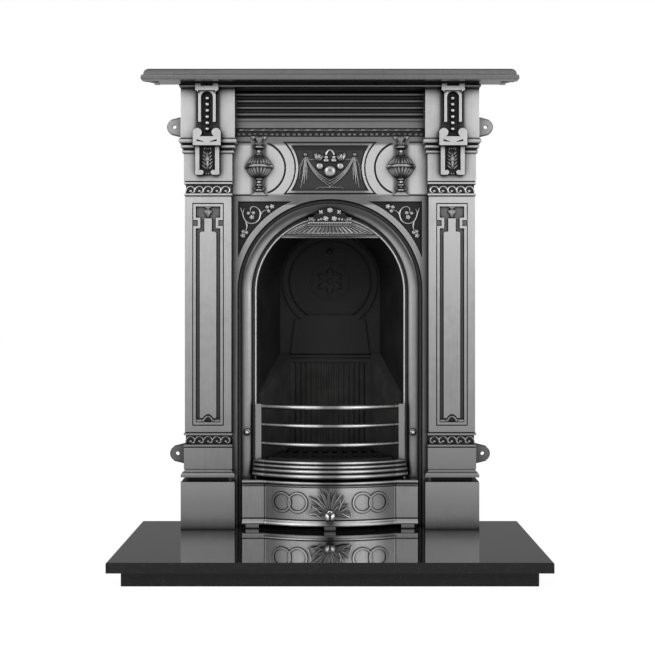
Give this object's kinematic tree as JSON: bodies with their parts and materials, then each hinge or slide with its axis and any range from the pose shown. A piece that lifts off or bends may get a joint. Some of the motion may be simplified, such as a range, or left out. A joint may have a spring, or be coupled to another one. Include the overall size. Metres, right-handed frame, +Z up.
{
  "type": "cast iron fireplace",
  "caption": "Upright cast iron fireplace with moulded jambs, arched fire opening, bowed fire bars, ash cover, mantel shelf and a boxed stone hearth.",
  "frame": {"origin": "middle of the hearth's and firebox's footprint, on the floor", "axes": "+X to the right seen from the front, +Y towards the wall and flue, +Z up"},
  "size_m": [0.838, 0.591, 1.032],
  "materials": {
    "granite": "polished black granite",
    "polished_iron": "hand-polished grey cast iron, dark in the recesses",
    "bright_iron": "brightly polished cast iron",
    "black_iron": "matt black cast iron",
    "fire_brick": "blackened fire brick",
    "bolt_steel": "plain steel",
    "pan_steel": "black painted sheet steel"
  },
  "bodies": {
    "surround": {"hearth_slab": "granite", "hearth_riser_front": "granite", "hearth_riser_back": "granite", "hearth_riser_left": "granite", "hearth_riser_right": "granite", "plinth_left": "polished_iron", "plinth_right": "polished_iron", "jamb_left": "polished_iron", "jamb_right": "polished_iron", "corbel_left": "polished_iron", "corbel_right": "polished_iron", "arch_plate": "polished_iron", "frieze_panel": "polished_iron", "urn_left": "polished_iron", "urn_right": "polished_iron", "bed_mould": "polished_iron", "mantel_shelf": "polished_iron", "fruit_swag": "bright_iron", "hood": "bright_iron", "bar_knobs": "bright_iron", "firebox_shell": "black_iron", "fireback": "black_iron", "grate_carrier": "black_iron", "ash_pit_base": "black_iron", "back_brick": "fire_brick", "cheek_left": "fire_brick", "cheek_right": "fire_brick", "corbel_bolts": "bolt_steel", "shelf_screws": "bolt_steel", "frame_bolts": "bolt_steel", "firebox_bolts": "bolt_steel", "hinge_pin": "bolt_steel"},
    "flue_door": {"register_door": "black_iron", "register_knob": "bright_iron"},
    "fire_bars": {"front_bars": "bright_iron"},
    "grate": {"bottom_grate": "black_iron"},
    "ash_cover": {"ash_cover": "polished_iron", "ash_cover_knob": "bright_iron"},
    "ash_pan": {"ash_pan": "pan_steel"}
  },
  "joints": [
    {"name": "flue_door_tilt", "type": "hinge", "parent": "surround", "child": "flue_door", "pos_m": [0, 0.2865, 0.5], "axis": [-1, 0, 0], "range_deg": [0, 35]},
    {"name": "fire_bars_lift", "type": "slide", "parent": "surround", "child": "fire_bars", "axis": [0, 0, 1], "range_m": [0, 0.03]},
    {"name": "grate_lift", "type": "slide", "parent": "surround", "child": "grate", "axis": [0, 0, 1], "range_m": [0, 0.04]},
    {"name": "ash_cover_slide", "type": "slide", "parent": "surround", "child": "ash_cover", "axis": [0, -1, 0], "range_m": [0, 0.15]},
    {"name": "ash_pan_slide", "type": "slide", "parent": "surround", "child": "ash_pan", "axis": [0, -1, 0], "range_m": [0, 0.15]}
  ],
  "couplings": [
    {"joint": "ash_pan_slide", "follows": "ash_cover_slide", "ratio": 1}
  ]
}
